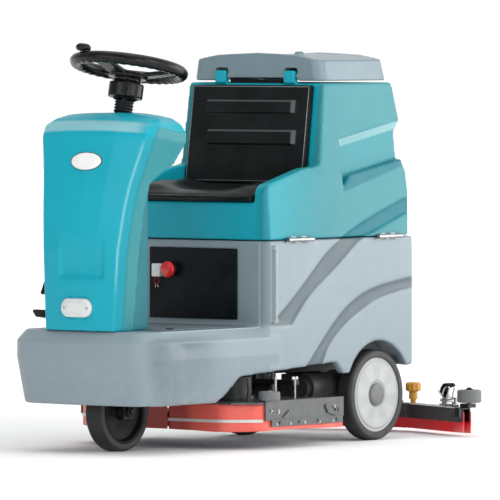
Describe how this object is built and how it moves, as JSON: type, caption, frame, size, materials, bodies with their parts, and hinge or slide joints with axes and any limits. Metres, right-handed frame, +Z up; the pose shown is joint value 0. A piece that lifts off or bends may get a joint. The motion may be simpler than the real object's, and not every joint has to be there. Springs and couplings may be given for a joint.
{
  "type": "ride-on floor scrubber",
  "caption": "Ride-on floor scrubber with a steering column, seat on a tilting recovery tank, offset disc-brush deck and a curved rear squeegee.",
  "frame": {"origin": "on the floor under the middle of the machine's box; X=0 is the body's centre plane", "axes": "+Z up, -Y is the direction of travel, +X is the machine's left side"},
  "size_m": [0.802, 1.564, 1.1708],
  "materials": {
    "frame_steel": "satin black powder coat",
    "body_grey": "rotomoulded satin",
    "rubber_black": "ribbed",
    "teal_plastic": "rotomoulded satin",
    "panel_black": "fine grain",
    "lamp_white": "satin white",
    "badge_white": "gloss",
    "white_plastic": "satin",
    "red_cord": "braided",
    "ring_chrome": "polished",
    "tube_clear": "clear",
    "battery_case": "matt",
    "alloy": "cast",
    "motor_grey": "satin",
    "chain_steel": "oiled",
    "wheel_black": "soft touch",
    "shaft_steel": "turned",
    "tyre": "solid rubber",
    "rim_dark": "satin",
    "disc_white": "moulded",
    "stop_red": "gloss",
    "deck_steel": "satin grey",
    "coral_skirt": "moulded",
    "brush_nylon": "bristle",
    "squeegee_alloy": "anodised",
    "squeegee_red": "cast",
    "knob_yellow": "moulded",
    "latch_steel": "bright",
    "roller_grey": "moulded",
    "lid_grey": "rotomoulded satin",
    "vinyl_black": "grained vinyl"
  },
  "bodies": {
    "root": {"chassis_frame": "frame_steel", "lower_body": "body_grey", "footboard_mat": "rubber_black", "column_front_cover": "teal_plastic", "column_rear_cover": "teal_plastic", "dashboard_panel": "panel_black", "headlamp": "lamp_white", "badge_plate": "badge_white", "electrical_panel": "panel_black", "key_block": "white_plastic", "key_lanyard": "red_cord", "key_ring": "ring_chrome", "sight_tube": "tube_clear", "batteries": "battery_case", "motor_controller": "alloy", "transaxle_housing": "motor_grey", "drive_motor": "motor_grey", "steering_chain": "chain_steel", "column_jacket": "frame_steel", "steering_bellows": "rubber_black", "lower_hinge_leaves": "ring_chrome", "lift_actuator": "alloy"},
    "steering_wheel": {"steering_wheel_rim": "wheel_black", "steering_wheel_spokes": "wheel_black", "upper_steering_shaft": "shaft_steel"},
    "spinner": {"spinner_knob": "wheel_black"},
    "lower_shaft": {"lower_steering_shaft": "shaft_steel"},
    "fork": {"steering_fork": "frame_steel"},
    "front_wheel": {"front_tyre": "tyre", "front_rim": "rim_dark"},
    "rear_wheel_left": {"rear_tyre_left": "tyre", "rear_wheel_disc_left": "disc_white"},
    "rear_wheel_right": {"rear_tyre_right": "tyre", "rear_wheel_disc_right": "disc_white"},
    "accelerator": {"accelerator_pedal": "rubber_black"},
    "brake": {"brake_pedal": "frame_steel"},
    "stop_button": {"emergency_stop_button": "stop_red"},
    "brush_deck": {"deck_plate": "deck_steel", "deck_skirts": "coral_skirt", "deck_side_brackets": "deck_steel", "brush_motors": "motor_grey"},
    "brush_disc_left": {"brush_left": "brush_nylon"},
    "brush_disc_right": {"brush_right": "brush_nylon"},
    "guard_roller_left": {"deck_roller_left": "roller_grey"},
    "guard_roller_right": {"deck_roller_right": "roller_grey"},
    "squeegee_arm": {"squeegee_lift_arm": "frame_steel"},
    "squeegee": {"squeegee_body": "squeegee_alloy", "squeegee_blades": "squeegee_red", "squeegee_knobs": "knob_yellow"},
    "latch_left": {"squeegee_latch_left": "latch_steel"},
    "latch_right": {"squeegee_latch_right": "latch_steel"},
    "end_roller_left": {"squeegee_roller_left": "roller_grey"},
    "end_roller_right": {"squeegee_roller_right": "roller_grey"},
    "upper_tank": {"recovery_tank": "teal_plastic", "upper_hinge_leaves": "ring_chrome", "seat_cushion": "vinyl_black", "backrest_pad": "vinyl_black", "vacuum_motor": "motor_grey", "float_valve": "white_plastic"},
    "lid": {"tank_lid": "lid_grey"}
  },
  "joints": [
    {"name": "steering_wheel_turn", "type": "hinge", "parent": "root", "child": "steering_wheel", "pos_m": [0, -0.5276, 1.0996], "axis": [0, 0.2079, 0.9781], "range_deg": [-150, 150]},
    {"name": "spinner_spin", "type": "hinge", "parent": "steering_wheel", "child": "spinner", "pos_m": [-0.058, -0.66236, 1.163], "axis": [0, 0.2079, 0.9781], "continuous": true},
    {"name": "lower_shaft_turn", "type": "hinge", "parent": "root", "child": "lower_shaft", "pos_m": [0, -0.652, 0.4], "axis": [0, 0, 1], "range_deg": [-150, 150]},
    {"name": "fork_steer", "type": "hinge", "parent": "root", "child": "fork", "pos_m": [0, -0.582, 0.28], "axis": [0, 0, 1], "range_deg": [-60, 60]},
    {"name": "front_wheel_spin", "type": "hinge", "parent": "fork", "child": "front_wheel", "pos_m": [0, -0.582, 0.116], "axis": [1, 0, 0], "continuous": true},
    {"name": "rear_wheel_left_spin", "type": "hinge", "parent": "root", "child": "rear_wheel_left", "pos_m": [0.233, 0.32, 0.134], "axis": [1, 0, 0], "continuous": true},
    {"name": "rear_wheel_right_spin", "type": "hinge", "parent": "root", "child": "rear_wheel_right", "pos_m": [-0.233, 0.32, 0.134], "axis": [1, 0, 0], "continuous": true},
    {"name": "accelerator_press", "type": "hinge", "parent": "root", "child": "accelerator", "pos_m": [-0.196, -0.56, 0.366], "axis": [1, 0, 0], "range_deg": [0, 12], "stiffness_Nm_per_rad": 3, "springref_deg": -20.05},
    {"name": "brake_press", "type": "hinge", "parent": "root", "child": "brake", "pos_m": [-0.182, -0.632, 0.54], "axis": [1, 0, 0], "range_deg": [-15, 0], "stiffness_Nm_per_rad": 4, "springref_deg": 22.92},
    {"name": "emergency_stop_press", "type": "slide", "parent": "root", "child": "stop_button", "axis": [0, 1, 0], "range_m": [0, 0.006], "stiffness_N_per_m": 1500, "springref_m": -0.003},
    {"name": "upper_tank_tilt", "type": "hinge", "parent": "root", "child": "upper_tank", "pos_m": [0.2745, 0, 0.6], "axis": [0, 1, 0], "range_deg": [0, 70]},
    {"name": "lid_open", "type": "hinge", "parent": "upper_tank", "child": "lid", "pos_m": [0, 0.072, 1.072], "axis": [1, 0, 0], "range_deg": [0, 80]},
    {"name": "brush_deck_lift", "type": "slide", "parent": "root", "child": "brush_deck", "axis": [0, 0, 1], "range_m": [-0.05, 0]},
    {"name": "brush_left_spin", "type": "hinge", "parent": "brush_deck", "child": "brush_disc_left", "pos_m": [0.134, -0.205, 0.1], "axis": [0, 0, 1], "continuous": true},
    {"name": "brush_right_spin", "type": "hinge", "parent": "brush_deck", "child": "brush_disc_right", "pos_m": [-0.194, -0.205, 0.1], "axis": [0, 0, 1], "continuous": true},
    {"name": "guard_roller_left_spin", "type": "hinge", "parent": "brush_deck", "child": "guard_roller_left", "pos_m": [0.304, -0.262, 0.155], "axis": [0, 0, 1], "continuous": true},
    {"name": "guard_roller_right_spin", "type": "hinge", "parent": "brush_deck", "child": "guard_roller_right", "pos_m": [-0.364, -0.262, 0.155], "axis": [0, 0, 1], "continuous": true},
    {"name": "squeegee_lift", "type": "hinge", "parent": "root", "child": "squeegee_arm", "pos_m": [0, 0.452, 0.132], "axis": [1, 0, 0], "range_deg": [0, 12]},
    {"name": "squeegee_swing", "type": "hinge", "parent": "squeegee_arm", "child": "squeegee", "pos_m": [0, 0.59, 0.09], "axis": [0, 0, 1], "range_deg": [-20, 20]},
    {"name": "latch_left_lever", "type": "hinge", "parent": "squeegee", "child": "latch_left", "pos_m": [0.278, 0.655, 0.104], "axis": [0.3907, 0.9205, 0], "range_deg": [0, 60]},
    {"name": "latch_right_lever", "type": "hinge", "parent": "squeegee", "child": "latch_right", "pos_m": [-0.278, 0.655, 0.104], "axis": [0.3907, -0.9205, 0], "range_deg": [0, 60]},
    {"name": "end_roller_left_spin", "type": "hinge", "parent": "squeegee", "child": "end_roller_left", "pos_m": [0.365, 0.636, 0.12], "axis": [0, 0, 1], "continuous": true},
    {"name": "end_roller_right_spin", "type": "hinge", "parent": "squeegee", "child": "end_roller_right", "pos_m": [-0.365, 0.636, 0.12], "axis": [0, 0, 1], "continuous": true}
  ],
  "couplings": [
    {"joint": "lower_shaft_turn", "follows": "steering_wheel_turn", "ratio": 1},
    {"joint": "fork_steer", "follows": "steering_wheel_turn", "ratio": 0.4}
  ]
}
